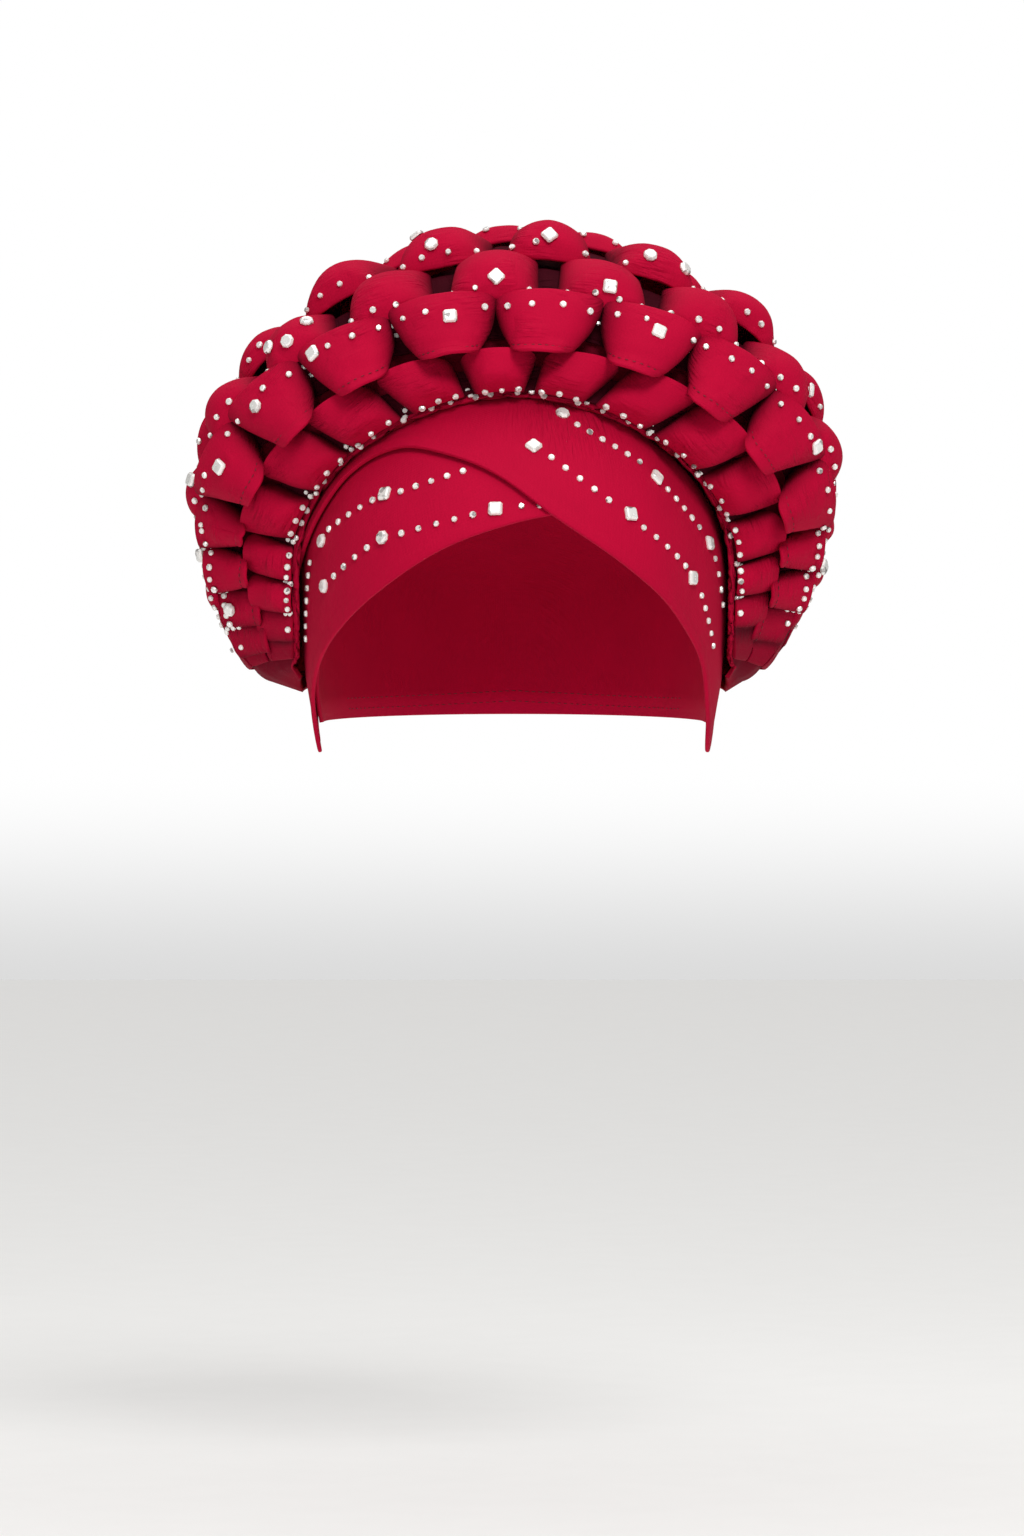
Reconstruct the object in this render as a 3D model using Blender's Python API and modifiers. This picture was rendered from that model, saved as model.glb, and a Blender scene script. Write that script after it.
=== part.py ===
"""Pleated turban: a fitted cap, a crossed forehead wrap and a puffed crown of tubular pleats.

The origin is the inside top of the cap, +Z is up and the forehead faces -Y.
Lengths are in metres; the lengths in the tables are shares of the named sizes beside them.
"""
import math

import bmesh
import bpy
from mathutils import Matrix, Vector

MM = 0.001

# Form that the cloth is stretched over
HEAD_WIDTH = 152 * MM
HEAD_LENGTH = 190 * MM
WIDEST_DROP = 75 * MM
LOWER_REACH = 150 * MM

# Cloth walls and the clearances between layers
CAP_WALL = 1.4 * MM
BAND_WALL = 1.6 * MM
BASE_WALL = 1.6 * MM
PLEAT_WALL = 1.4 * MM
LAYER_GAP = 0.7 * MM
PLEAT_GAP = 0.7 * MM
STONE_GAP = 0.3 * MM

# Fitted cap: how far its edge lies below the top of the head
CAP_FRONT_DROP = 46 * MM
CAP_SIDE_DROP = 128 * MM
CAP_BACK_DROP = 124 * MM

# Crossed forehead wrap
WRAP_DROP = 139 * MM

# Puffed crown
CROWN_SPREAD = 39 * MM
CROWN_RISE = 46 * MM
CROWN_DROP = 113 * MM
CROWN_LEAN = 0.045
BACK_BULGE = 28 * MM
BACK_SHOULDER = 0.12
NAPE_DROP = 106 * MM
NAPE_END_AZIMUTH = 118.0
END_TUCK = 4 * MM
RING_END = 195.0
FIRST_RING_SIDE = 100.0
OTHER_RING_SIDE = 90.0

# Pleats, laid like bricks: each row starts half a pleat along from the last. A hem's lip is
# the part of a pleat near its crest that stands over the next row.
PLEAT_STEP = 19.4
PLEAT_PHASE = -5.0
VALLEY_SHARE = 0.14
LIP_SHARE = 0.13
ROW_FLAPS = (161.0, 172.0)
PLEAT_FADE_START = 120.0
PLEAT_FADE_END = 165.0
SECTION_ANGLES = (-90, -60, -30, 0, 30, 60, 90)

# Colours, linear
CRIMSON = (0.46, 0.005, 0.040, 1.0)
CRYSTAL = (0.86, 0.85, 0.83, 1.0)

# Under band, a row for each section from the right temple to the brow:
# lower azimuth, lower drop, upper azimuth, upper drop; drops are shares of WRAP_DROP
UNDER_BAND = (
    (-104, 0.98, -104, 0.66),
    (-90, 1.00, -97, 0.58),
    (-82, 0.91, -90, 0.48),
    (-72, 0.805, -81, 0.38),
    (-57, 0.70, -68, 0.27),
    (-38, 0.585, -50, 0.17),
    (-18, 0.475, -30, 0.09),
    (0, 0.413, -10, 0.05),
    (16, 0.38, 10, 0.045),
    (36, 0.33, 32, 0.09),
)

# Over band, from above the right temple across the brow to the left side
OVER_BAND = (
    (-84, 0.58, -92, 0.47),
    (-72, 0.45, -80, 0.34),
    (-57, 0.275, -62, 0.19),
    (-40, 0.208, -42, 0.10),
    (-22, 0.226, -22, 0.05),
    (-5, 0.285, -3, 0.035),
    (12, 0.405, 16, 0.045),
    (30, 0.525, 38, 0.10),
    (48, 0.65, 58, 0.20),
    (63, 0.775, 75, 0.33),
    (72, 0.91, 87, 0.44),
    (86, 1.00, 97, 0.55),
    (104, 0.98, 104, 0.66),
)

# The over band lies on the under band up to the first azimuth and on the cap past the second
OVERLAP_END = 38.0
OVERLAP_RAMP_END = 58.0

# First ring of the crown, on the wrap: azimuth and drop (share of CROWN_DROP)
FIRST_RING_AZIMUTH = 73.0
FIRST_RING_END_AZIMUTH = 82.0
FIRST_RING_TOP = 0.085
FIRST_RING_SIDE_DROP = 0.62
FIRST_RING_END_DROP = 0.95

# Rings 1 to 5, where one row of pleats meets the next. Columns: top depth, top height,
# side width, side depth, side drop, end width, end depth, end drop. Depths are shares of
# half HEAD_LENGTH, heights of CROWN_RISE, drops of CROWN_DROP, widths of half the crown.
RINGS = (
    (-0.64, 0.13, 0.84, -0.22, 0.485, 0.73, -0.08, 0.96),
    (-0.62, 0.47, 0.965, -0.09, 0.46, 0.75, 0.00, 0.98),
    (-0.42, 0.79, 0.97, 0.13, 0.46, 0.765, 0.10, 0.99),
    (-0.13, 1.00, 0.85, 0.35, 0.48, 0.75, 0.21, 0.98),
    (0.19, 0.87, 0.70, 0.56, 0.51, 0.71, 0.34, 0.97),
)

# Rows of pleats, from the wrap to the back. Columns: start share of the row, crest height
# as a share of the pitch, share of that height at the face hem, share at the back hem, and
# how far a pleat's hem stands over its neighbours, as a share of the pitch
PLEAT_ROWS = (
    (0.20, 0.50, 0.55, 1.05, 0.05),
    (0.04, 0.50, 1.05, 0.85, 0.10),
    (0.04, 0.50, 0.55, 0.80, 0.05),
    (0.04, 0.50, 0.55, 0.80, 0.05),
    (0.04, 0.46, 0.50, 0.45, 0.04),
)
ROW_LEVELS = (0.0, 0.42, 1.0)

# Main stones on the wrap: band, azimuth, drop (share of WRAP_DROP), outline
WRAP_STONES = (
    ("over", 18, 0.12, "octagon"),
    ("over", 6, 0.21, "diamond"),
    ("over", 45, 0.285, "diamond"),
    ("over", 32, 0.385, "square"),
    ("over", 65, 0.45, "square"),
    ("over", 54, 0.545, "square"),
    ("under", -39, 0.33, "square"),
    ("under", -37, 0.445, "round"),
    ("under", -63, 0.445, "round"),
    ("under", -60, 0.565, "round"),
    ("under", -5, 0.375, "square"),
)

# Main stones on the crown: row, pleat counted from the top, share across the pleat,
# share along the row, outline
CROWN_STONES = (
    (1, -0.5, 0.15, 0.70, "square"),
    (1, 1.5, 0.05, 0.72, "square"),
    (1, -1.5, -0.60, 0.82, "square"),
    (1, -2.5, -0.15, 0.70, "octagon"),
    (1, -3.5, 0.15, 0.64, "square"),
    (1, -6.5, 0.05, 0.70, "round"),
    (1, 3.5, 0.60, 0.84, "square"),
    (2, 0, 0.15, 0.18, "diamond"),
    (2, 1, 0.05, 0.18, "square"),
    (2, -2, 0.60, 0.35, "round"),
    (2, -2, 0.05, 0.18, "round"),
    (2, -2, -0.45, 0.28, "round"),
    (2, -4, 0.30, 0.22, "square"),
    (2, -5, -0.30, 0.20, "square"),
    (2, 3, 0.65, 0.34, "octagon"),
    (2, 6, -0.25, 0.20, "diamond"),
    (3, -0.5, -0.45, 0.50, "square"),
    (3, -0.5, -0.05, 0.16, "round"),
    (3, 0.5, 0.05, 0.16, "diamond"),
    (3, 1.5, 0.50, 0.20, "round"),
    (3, 1.5, -0.35, 0.18, "round"),
)

STONE_WIDTH = 4.8 * MM
STONE_HEIGHT = 1.8 * MM
STONE_TABLE = 0.62
STONE_SEGMENTS = 8
SQUARE_CHAMFER = 14
SQUARE_REACH = 1.15


def blend(first, second, share):
    return first + (second - first) * share


def smooth_row(table, share):
    """Read a table's columns at a share of its length, on a smooth curve through its rows."""
    place = max(0.0, min(1.0, share)) * (len(table) - 1)
    index = min(int(place), len(table) - 2)
    part = place - index
    before = table[max(index - 1, 0)]
    start = table[index]
    end = table[index + 1]
    after = table[min(index + 2, len(table) - 1)]
    values = []
    for a, b, c, d in zip(before, start, end, after):
        slope_in = (c - a) / 2
        slope_out = (d - b) / 2
        square = part * part
        cube = square * part
        values.append((2 * cube - 3 * square + 1) * b + (cube - 2 * square + part) * slope_in
                      + (3 * square - 2 * cube) * c + (cube - square) * slope_out)
    return values


def head_point(azimuth, height, offset):
    """Point at an azimuth (0 is the brow, 90 the left ear) and height, off the head form."""
    above = height + WIDEST_DROP
    reach = (WIDEST_DROP if above > 0 else LOWER_REACH) + offset
    radius = math.sqrt(max(0.0, 1.0 - (above / reach) ** 2))
    turn = math.radians(azimuth)
    return Vector(((HEAD_WIDTH / 2 + offset) * radius * math.sin(turn),
                   -(HEAD_LENGTH / 2 + offset) * radius * math.cos(turn),
                   height))


def head_azimuth(point):
    return math.degrees(math.atan2(point.x / HEAD_WIDTH, -point.y / HEAD_LENGTH))


def under_offset():
    return CAP_WALL + LAYER_GAP + BAND_WALL / 2


def over_offset(azimuth):
    """The over band's distance off the head: on the under band first, then on the cap."""
    share = (azimuth - OVERLAP_END) / (OVERLAP_RAMP_END - OVERLAP_END)
    share = max(0.0, min(1.0, share))
    ease = share * share * (3 - 2 * share)
    return under_offset() + (BAND_WALL + LAYER_GAP) * (1 - ease)


def band_point(table, offset_at, share, across):
    """Point of a band at a share of its length and a share across from its lower edge."""
    low_azimuth, low_drop, high_azimuth, high_drop = smooth_row(table, share)
    azimuth = blend(low_azimuth, high_azimuth, across)
    drop = blend(low_drop, high_drop, across)
    return head_point(azimuth, -drop * WRAP_DROP, offset_at(azimuth))


def first_ring_point(angle):
    """Where the crown rises out of the wrap."""
    offset = over_offset(0) + BAND_WALL / 2 + LAYER_GAP + BASE_WALL
    side = math.copysign(1, angle)
    size = abs(angle)
    if size <= FIRST_RING_SIDE:
        turn = math.radians(90 * size / FIRST_RING_SIDE)
        azimuth = FIRST_RING_AZIMUTH * math.sin(turn)
        drop = blend(FIRST_RING_SIDE_DROP, FIRST_RING_TOP, math.cos(turn))
    else:
        turn = math.radians(90 * (size - FIRST_RING_SIDE) / (RING_END - FIRST_RING_SIDE))
        azimuth = blend(FIRST_RING_END_AZIMUTH, FIRST_RING_AZIMUTH, math.cos(turn))
        drop = blend(FIRST_RING_SIDE_DROP, FIRST_RING_END_DROP, math.sin(turn))
    return head_point(side * azimuth, -drop * CROWN_DROP, offset)


def ring_point(ring, angle):
    """Point of a ring at an angle from its top: a quarter ellipse to the side and another
    to the end behind the ear."""
    if ring == 0:
        return first_ring_point(angle)
    (top_depth, top_height, side_width, side_depth, side_drop,
     end_width, end_depth, end_drop) = RINGS[ring - 1]
    half_width = HEAD_WIDTH / 2 + CROWN_SPREAD
    half_length = HEAD_LENGTH / 2
    side = math.copysign(1, angle)
    size = abs(angle)
    if size <= OTHER_RING_SIDE:
        turn = math.radians(90 * size / OTHER_RING_SIDE)
        width = side_width * math.sin(turn)
        depth = blend(side_depth, top_depth, math.cos(turn))
        height = blend(-side_drop * CROWN_DROP, top_height * CROWN_RISE, math.cos(turn))
    else:
        turn = math.radians(90 * (size - OTHER_RING_SIDE) / (RING_END - OTHER_RING_SIDE))
        width = blend(end_width, side_width, math.cos(turn))
        depth = blend(side_depth, end_depth, math.sin(turn))
        height = -blend(side_drop, end_drop, math.sin(turn)) * CROWN_DROP
    lean = CROWN_LEAN * (height + side_drop * CROWN_DROP)
    return Vector((side * width * half_width + lean, depth * half_length, height))


def back_point(angle, share):
    """Plain back of the crown, from the last ring down to the nape in one full curve."""
    start = ring_point(len(RINGS), angle)
    reach = min(abs(angle) / RING_END, 1.0)
    azimuth = math.copysign(blend(180, NAPE_END_AZIMUTH, reach), angle)
    offset = CAP_WALL + LAYER_GAP + BASE_WALL + (BAND_WALL + LAYER_GAP) * reach
    end = head_point(azimuth, -blend(NAPE_DROP, CROWN_DROP, reach), offset)
    bulge = end.y + BACK_BULGE * (1 - reach)
    middle = Vector((start.x, max(bulge, start.y), blend(start.z, end.z, BACK_SHOULDER)))
    return (start * (1 - share) ** 2 + middle * (2 * share * (1 - share))
            + end * share ** 2)


def crown_point(angle, ring):
    """Point of the crown's face between two rings, or past the last ring on its back."""
    last = len(RINGS)
    if ring > last:
        return back_point(angle, ring - last)
    index = min(int(ring), last - 1)
    start = ring_point(index, angle)
    return start.lerp(ring_point(index + 1, angle), ring - index)


def crown_normal(angle, ring):
    """Outward direction of the crown, eased over half a row to each side."""
    last = len(RINGS) + 1
    along = (crown_point(min(angle + 2, RING_END), ring)
             - crown_point(max(angle - 2, -RING_END), ring))
    across = crown_point(angle, min(ring + 0.5, last)) - crown_point(angle, max(ring - 0.5, 0))
    return along.cross(across).normalized()


def pleat_height(row, angle, ring):
    """Height of a pleat's crest: a share of the pitch, dying out towards the row's ends."""
    pitch = (crown_point(angle + PLEAT_STEP / 2, ring)
             - crown_point(angle - PLEAT_STEP / 2, ring)).length
    fade = (abs(angle) - PLEAT_FADE_START) / (PLEAT_FADE_END - PLEAT_FADE_START)
    fade = max(0.0, min(1.0, fade))
    return pitch * PLEAT_ROWS[row][1] * (1 - fade * fade)


def row_place(row, along):
    """Ring position of a share along a row, which stops short of its neighbours' hems."""
    return row + blend(PLEAT_ROWS[row][0], 1 - PLEAT_ROWS[-1][0], along)


def pleat_centres(row):
    """Angles of a row's pleats: whole steps from the top, or half steps on every other row."""
    shift = 0.5 * (row % 2)
    count = int((ROW_FLAPS[0] - PLEAT_STEP / 2) / PLEAT_STEP - shift)
    first = -count - shift
    total = 2 * count + 1 + round(2 * shift)
    return [(first + index) * PLEAT_STEP + PLEAT_PHASE for index in range(total)]


def pleat_point(row, centre, section, along):
    """Point of a pleat's wall: section turns from one foot (-90) over the crest to the other
    (90), and along runs from the row's face hem (0) to its back hem (1)."""
    height_share, face_share, back_share, overhang = PLEAT_ROWS[row][1:]
    turn = math.radians(section)
    angle = centre + PLEAT_STEP / 2 * (1 - VALLEY_SHARE) * math.sin(turn)
    place = row_place(row, along)
    rise = math.cos(turn)
    point = crown_point(angle, place)
    normal = crown_normal(angle, place)
    height = pleat_height(row, centre, place)
    crest = ROW_LEVELS[1]
    if along < crest:
        swell = 1 - (1 - face_share) * (1 - along / crest) ** 2
    else:
        swell = 1 - (1 - back_share) * ((along - crest) / (1 - crest)) ** 2
    lip = max(0.0, (rise - 1) / LIP_SHARE + 1) * overhang * height / height_share
    row_way = (crown_point(angle, row + 1) - crown_point(angle, row)).normalized()
    return point + normal * (height * rise * swell) + row_way * (lip * (2 * along - 1))


def cell_of(stops, value):
    """Index of the stop at or before a value, and the share of the way to the next."""
    index = max(i for i in range(len(stops) - 1) if i == 0 or stops[i] <= value)
    return index, (value - stops[index]) / (stops[index + 1] - stops[index])


def pleat_seat(row, centre, across, along):
    """Where a stone sits on the flat cell of a pleat's wall: point, normal and up."""
    column, column_share = cell_of(SECTION_ANGLES, math.degrees(math.asin(across)))
    level, level_share = cell_of(ROW_LEVELS, along)
    corners = [[pleat_point(row, centre, SECTION_ANGLES[column + i], ROW_LEVELS[level + j])
                for i in (0, 1)] for j in (0, 1)]
    low = corners[0][0].lerp(corners[0][1], column_share)
    high = corners[1][0].lerp(corners[1][1], column_share)
    left = corners[0][0].lerp(corners[1][0], level_share)
    right = corners[0][1].lerp(corners[1][1], level_share)
    up = high - low
    return low.lerp(high, level_share), (right - left).cross(up).normalized(), up


def fabric_material(name, colour):
    material = bpy.data.materials.new(name)
    material.use_nodes = True
    shader = material.node_tree.nodes["Principled BSDF"]
    shader.inputs["Base Color"].default_value = colour
    shader.inputs["Roughness"].default_value = 0.8
    shader.inputs["Metallic"].default_value = 0.0
    return material


def crystal_material(name, colour):
    material = bpy.data.materials.new(name)
    material.use_nodes = True
    shader = material.node_tree.nodes["Principled BSDF"]
    shader.inputs["Base Color"].default_value = colour
    shader.inputs["Roughness"].default_value = 0.12
    shader.inputs["Metallic"].default_value = 0.6
    return material


def add_object(name, mesh_data, collection, material):
    """Turn a finished bmesh into a named object with its own material."""
    bmesh.ops.recalc_face_normals(mesh_data, faces=mesh_data.faces)
    mesh = bpy.data.meshes.new(name)
    mesh_data.to_mesh(mesh)
    mesh_data.free()
    mesh.materials.append(material)
    made = bpy.data.objects.new(name, mesh)
    collection.objects.link(made)
    return made


def add_wall(made, wall):
    """Give an open sheet of cloth its thickness, half to each side."""
    solidify = made.modifiers.new("wall", "SOLIDIFY")
    solidify.thickness = wall
    solidify.offset = 0


def cloth_from_grid(name, columns, rows, place, wall, collection):
    """Bend a flat grid of cloth into shape; place gives the point of each column and row."""
    mesh_data = bmesh.new()
    bmesh.ops.create_grid(mesh_data, x_segments=columns, y_segments=rows, size=0.5)
    for vert in mesh_data.verts:
        column = round((vert.co.x + 0.5) * columns)
        row = round((vert.co.y + 0.5) * rows)
        vert.co = place(column, row)
    made = add_object(name, mesh_data, collection, fabric_material(name + "_cloth", CRIMSON))
    add_wall(made, wall)
    made.data.shade_smooth()
    return made


def cap_drop(azimuth):
    """How far the cap's edge lies below the top of the head."""
    level = math.cos(math.radians(azimuth))
    end = CAP_FRONT_DROP if level > 0 else CAP_BACK_DROP
    return blend(CAP_SIDE_DROP, end, abs(level))


def make_cap(collection):
    """Fitted cap: the upper half of a sphere, drawn down to the cap's edge all round."""
    segments = 30
    rings = 16
    offset = CAP_WALL / 2
    mesh_data = bmesh.new()
    bmesh.ops.create_uvsphere(mesh_data, u_segments=segments, v_segments=rings, radius=1)
    lower = [vert for vert in mesh_data.verts if vert.co.z < -0.01]
    bmesh.ops.delete(mesh_data, geom=lower, context="VERTS")
    for vert in mesh_data.verts:
        share = math.acos(max(-1.0, min(1.0, vert.co.z))) / (math.pi / 2)
        azimuth = math.degrees(math.atan2(vert.co.x, -vert.co.y))
        edge = WIDEST_DROP - cap_drop(azimuth)
        reach = (WIDEST_DROP if edge > 0 else LOWER_REACH) + offset
        polar = share * math.acos(edge / reach)
        reach = (WIDEST_DROP if polar < math.pi / 2 else LOWER_REACH) + offset
        if share < 0.01:
            vert.co = Vector((0, 0, offset))
        else:
            height = reach * math.cos(polar) - WIDEST_DROP
            vert.co = head_point(azimuth, height, offset)
    made = add_object("fitted_cap", mesh_data, collection,
                      fabric_material("fitted_cap_cloth", CRIMSON))
    add_wall(made, CAP_WALL)
    made.data.shade_smooth()


def make_band(name, table, offset_at, columns, rows, collection):
    def place(column, row):
        return band_point(table, offset_at, column / columns, row / rows)

    cloth_from_grid(name, columns, rows, place, BAND_WALL, collection)


def make_crown_base(collection):
    """Puffed foundation under the pleats: their rings, the plain back and the turned-in ends."""
    columns = 46
    back_rows = 4
    rings = len(RINGS)
    sink = PLEAT_WALL / 2 + PLEAT_GAP + BASE_WALL / 2
    seat = CAP_WALL + LAYER_GAP + BAND_WALL + LAYER_GAP + BASE_WALL

    def place(column, row):
        ring = row if row <= rings else rings + (row - rings) / back_rows
        if 0 < column < columns:
            angle = RING_END * (2 * (column - 1) / (columns - 2) - 1)
            edge = 1 - abs(angle) / RING_END
            fall = sink * min(1.0, 4 * (rings + 1 - ring)) if ring > rings else sink
            return crown_point(angle, ring) - crown_normal(angle, ring) * fall * min(1, 8 * edge)
        angle = RING_END if column else -RING_END
        point = crown_point(angle, ring)
        return head_point(head_azimuth(point), point.z - END_TUCK, seat)

    cloth_from_grid("crown_base", columns, rings + back_rows, place, BASE_WALL, collection)


def make_pleat_row(row, collection):
    """One row of tubular pleats in a single strip of cloth, with a flat flap at each end."""
    centres = pleat_centres(row)
    sections = len(SECTION_ANGLES)
    flaps = len(ROW_FLAPS)
    columns = sections * len(centres) + 2 * flaps - 1
    rows = len(ROW_LEVELS) - 1

    def place(column, level):
        along = ROW_LEVELS[level]
        if column < flaps:
            return crown_point(-ROW_FLAPS[flaps - 1 - column], row_place(row, along))
        if column > columns - flaps:
            return crown_point(ROW_FLAPS[column - columns - 1], row_place(row, along))
        index, section = divmod(column - flaps, sections)
        return pleat_point(row, centres[index], SECTION_ANGLES[section], along)

    name = "pleat_row_%d" % (row + 1)
    cloth_from_grid(name, columns, rows, place, PLEAT_WALL, collection)


def stone_rim(shape, index):
    """Direction and reach of a stone's corner: even for a round one, paired for a square."""
    step = 360 / STONE_SEGMENTS
    if shape in ("round", "octagon"):
        return math.radians(step * (index + 0.5)), 1.0
    corner = 90 * (index // 2) + 45 + (SQUARE_CHAMFER if index % 2 else -SQUARE_CHAMFER)
    turn = 45 if shape == "diamond" else 0
    return math.radians(corner + turn), SQUARE_REACH


def make_stone(name, shape, point, normal, up, wall, collection):
    """Flat-backed cut stone: a table and eight facets, its back just clear of the cloth."""
    mesh_data = bmesh.new()
    bmesh.ops.create_cone(mesh_data, cap_ends=True, segments=STONE_SEGMENTS, radius1=1,
                          radius2=STONE_TABLE, depth=STONE_HEIGHT)
    for level in (-1, 1):
        rim = [vert for vert in mesh_data.verts if vert.co.z * level > 0]
        rim.sort(key=lambda vert: math.atan2(vert.co.y, vert.co.x) % (2 * math.pi))
        for index, vert in enumerate(rim):
            turn, reach = stone_rim(shape, index)
            radius = STONE_WIDTH / 2 * reach * (1 if level < 0 else STONE_TABLE)
            vert.co.x = radius * math.cos(turn)
            vert.co.y = radius * math.sin(turn)
    made = add_object(name, mesh_data, collection, crystal_material(name + "_crystal", CRYSTAL))
    side = up.cross(normal).normalized()
    upright = normal.cross(side)
    frame = Matrix((side, upright, normal)).transposed().to_4x4()
    lift = wall / 2 + STONE_GAP + STONE_HEIGHT / 2
    made.matrix_world = Matrix.Translation(point + normal * lift) @ frame


def make_wrap_stones(collection):
    for number, (band, azimuth, drop, shape) in enumerate(WRAP_STONES, 1):
        offset = over_offset(azimuth) if band == "over" else under_offset()
        point = head_point(azimuth, -drop * WRAP_DROP, offset)
        beside = head_point(azimuth + 1, -drop * WRAP_DROP, offset) - point
        above = head_point(azimuth, -drop * WRAP_DROP + MM, offset) - point
        normal = beside.cross(above).normalized()
        make_stone("wrap_stone_%02d" % number, shape, point, normal, above, BAND_WALL,
                   collection)


def make_crown_stones(collection):
    for number, (row, pleat, across, along, shape) in enumerate(CROWN_STONES, 1):
        centre = pleat * PLEAT_STEP + PLEAT_PHASE
        point, normal, up = pleat_seat(row, centre, across, along)
        make_stone("crown_stone_%02d" % number, shape, point, normal, up, PLEAT_WALL,
                   collection)


def main():
    for old in list(bpy.data.objects):
        bpy.data.objects.remove(old, do_unlink=True)
    collection = bpy.data.collections.new("pleated_turban")
    bpy.context.scene.collection.children.link(collection)
    make_cap(collection)
    make_band("under_band", UNDER_BAND, lambda azimuth: under_offset(), 20, 6, collection)
    make_band("over_band", OVER_BAND, over_offset, 24, 6, collection)
    make_crown_base(collection)
    for row in range(len(PLEAT_ROWS)):
        make_pleat_row(row, collection)
    make_wrap_stones(collection)
    make_crown_stones(collection)


main()
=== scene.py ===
"""Pleated turban: the cloth, the stitched hems and the crystals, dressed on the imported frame.

The origin is the top of the head, +Z is up and the forehead faces -Y. Lengths are in
metres. Lengths in the tables are shares of the sizes in the property groups.
"""
import math
import random

import bmesh
import bpy
from mathutils import Matrix, Vector, noise


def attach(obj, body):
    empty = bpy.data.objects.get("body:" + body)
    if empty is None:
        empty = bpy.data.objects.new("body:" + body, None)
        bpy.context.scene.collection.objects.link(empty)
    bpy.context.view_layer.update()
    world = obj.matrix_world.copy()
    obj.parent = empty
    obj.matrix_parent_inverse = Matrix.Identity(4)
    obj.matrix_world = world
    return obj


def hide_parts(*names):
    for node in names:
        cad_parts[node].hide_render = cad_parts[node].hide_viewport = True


bl_info = {
    "name": "Pleated Turban",
    "version": (1, 0, 0),
    "blender": (4, 5, 0),
    "location": "View3D > Sidebar > Turban",
    "description": "Dresses a pleated turban: cap, crossed wrap, brick-laid pleats and crystals",
    "category": "Add Mesh",
}

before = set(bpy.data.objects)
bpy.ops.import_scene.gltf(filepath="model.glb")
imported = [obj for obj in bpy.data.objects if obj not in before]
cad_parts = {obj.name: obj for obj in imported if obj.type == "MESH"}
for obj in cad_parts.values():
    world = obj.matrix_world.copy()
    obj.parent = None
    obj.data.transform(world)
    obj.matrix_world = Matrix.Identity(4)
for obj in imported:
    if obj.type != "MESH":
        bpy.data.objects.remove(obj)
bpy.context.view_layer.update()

MM = 0.001
ROOT = "root"

# Under band, a section a row from the right temple to the brow:
# lower azimuth, lower drop, upper azimuth, upper drop; drops are shares of the wrap's drop
UNDER_BAND = (
    (-104, 0.82, -104, 0.66),
    (-90, 1.00, -97, 0.58),
    (-82, 0.91, -90, 0.48),
    (-72, 0.805, -81, 0.38),
    (-57, 0.70, -68, 0.27),
    (-38, 0.585, -50, 0.17),
    (-18, 0.475, -30, 0.09),
    (0, 0.413, -10, 0.05),
    (16, 0.38, 10, 0.045),
    (36, 0.33, 32, 0.09),
)

# Over band, from above the right temple across the brow to the left temple
OVER_BAND = (
    (-84, 0.58, -92, 0.47),
    (-72, 0.45, -80, 0.34),
    (-57, 0.275, -62, 0.19),
    (-40, 0.208, -42, 0.10),
    (-22, 0.226, -22, 0.05),
    (-5, 0.285, -3, 0.035),
    (12, 0.405, 16, 0.045),
    (30, 0.525, 38, 0.10),
    (48, 0.65, 58, 0.20),
    (63, 0.775, 75, 0.33),
    (72, 0.91, 87, 0.44),
    (86, 1.00, 97, 0.55),
    (104, 0.82, 104, 0.66),
)

# Azimuths between which the over band comes down off the under band onto the cap
OVERLAP_AZIMUTHS = (38.0, 58.0)
# Azimuth and drop of the drag lines where the bands cross
WRAP_CREASES = (17, 0.145)

# The cap's rim below the top of the head, at the brow, the sides and the nape
CAP_DROPS = (46 * MM, 128 * MM, 124 * MM)
# Rows of stitches above the rim at the nape, and how much lower the rim is at the sides
CAP_STITCH_ROWS = (5 * MM, 9 * MM)
CAP_SIDE_DIP = 4 * MM

# First ring, where the crown rises out of the wrap: azimuths, and drops as shares of the crown's
FIRST_RING_AZIMUTHS = (73.0, 82.0)
FIRST_RING_DROPS = (0.085, 0.62, 0.95)

# Rings 1 to 5, between rows of pleats. Columns: top depth, top height, side width, side depth,
# side drop, end width, end depth, end drop, as shares of half the head's length, the crown's
# rise, half the crown's width and the crown's drop
RINGS = (
    (-0.64, 0.13, 0.84, -0.22, 0.485, 0.73, -0.08, 0.96),
    (-0.62, 0.47, 0.965, -0.09, 0.46, 0.75, 0.00, 0.98),
    (-0.42, 0.79, 0.97, 0.13, 0.46, 0.765, 0.10, 0.99),
    (-0.13, 1.00, 0.85, 0.35, 0.48, 0.75, 0.21, 0.98),
    (0.19, 0.87, 0.70, 0.56, 0.51, 0.71, 0.34, 0.97),
)

# Angle of a ring's ends from its top, and of its widest place on ring 0 and on the others
RING_END = 195.0
RING_SIDES = (100.0, 90.0)
# Azimuth of the plain back's ends, and how far down its fall the shoulder is
BACK_END_AZIMUTH = 118
BACK_SHOULDER = 0.12
# How far the foundation lies under the pleats, and its ends are tucked below the crown
FOUNDATION_SINK = 2.2 * MM
FOUNDATION_TUCK = 4 * MM
# Rings of the foundation up to ring 1, the first of them on the ruched strip
STRIP_RINGS = (0.0, 0.012, 0.024, 0.036, 0.048, 0.06, 0.08, 0.12, 0.2, 0.4, 0.6, 0.8)
STRIP_END = 0.1

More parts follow.
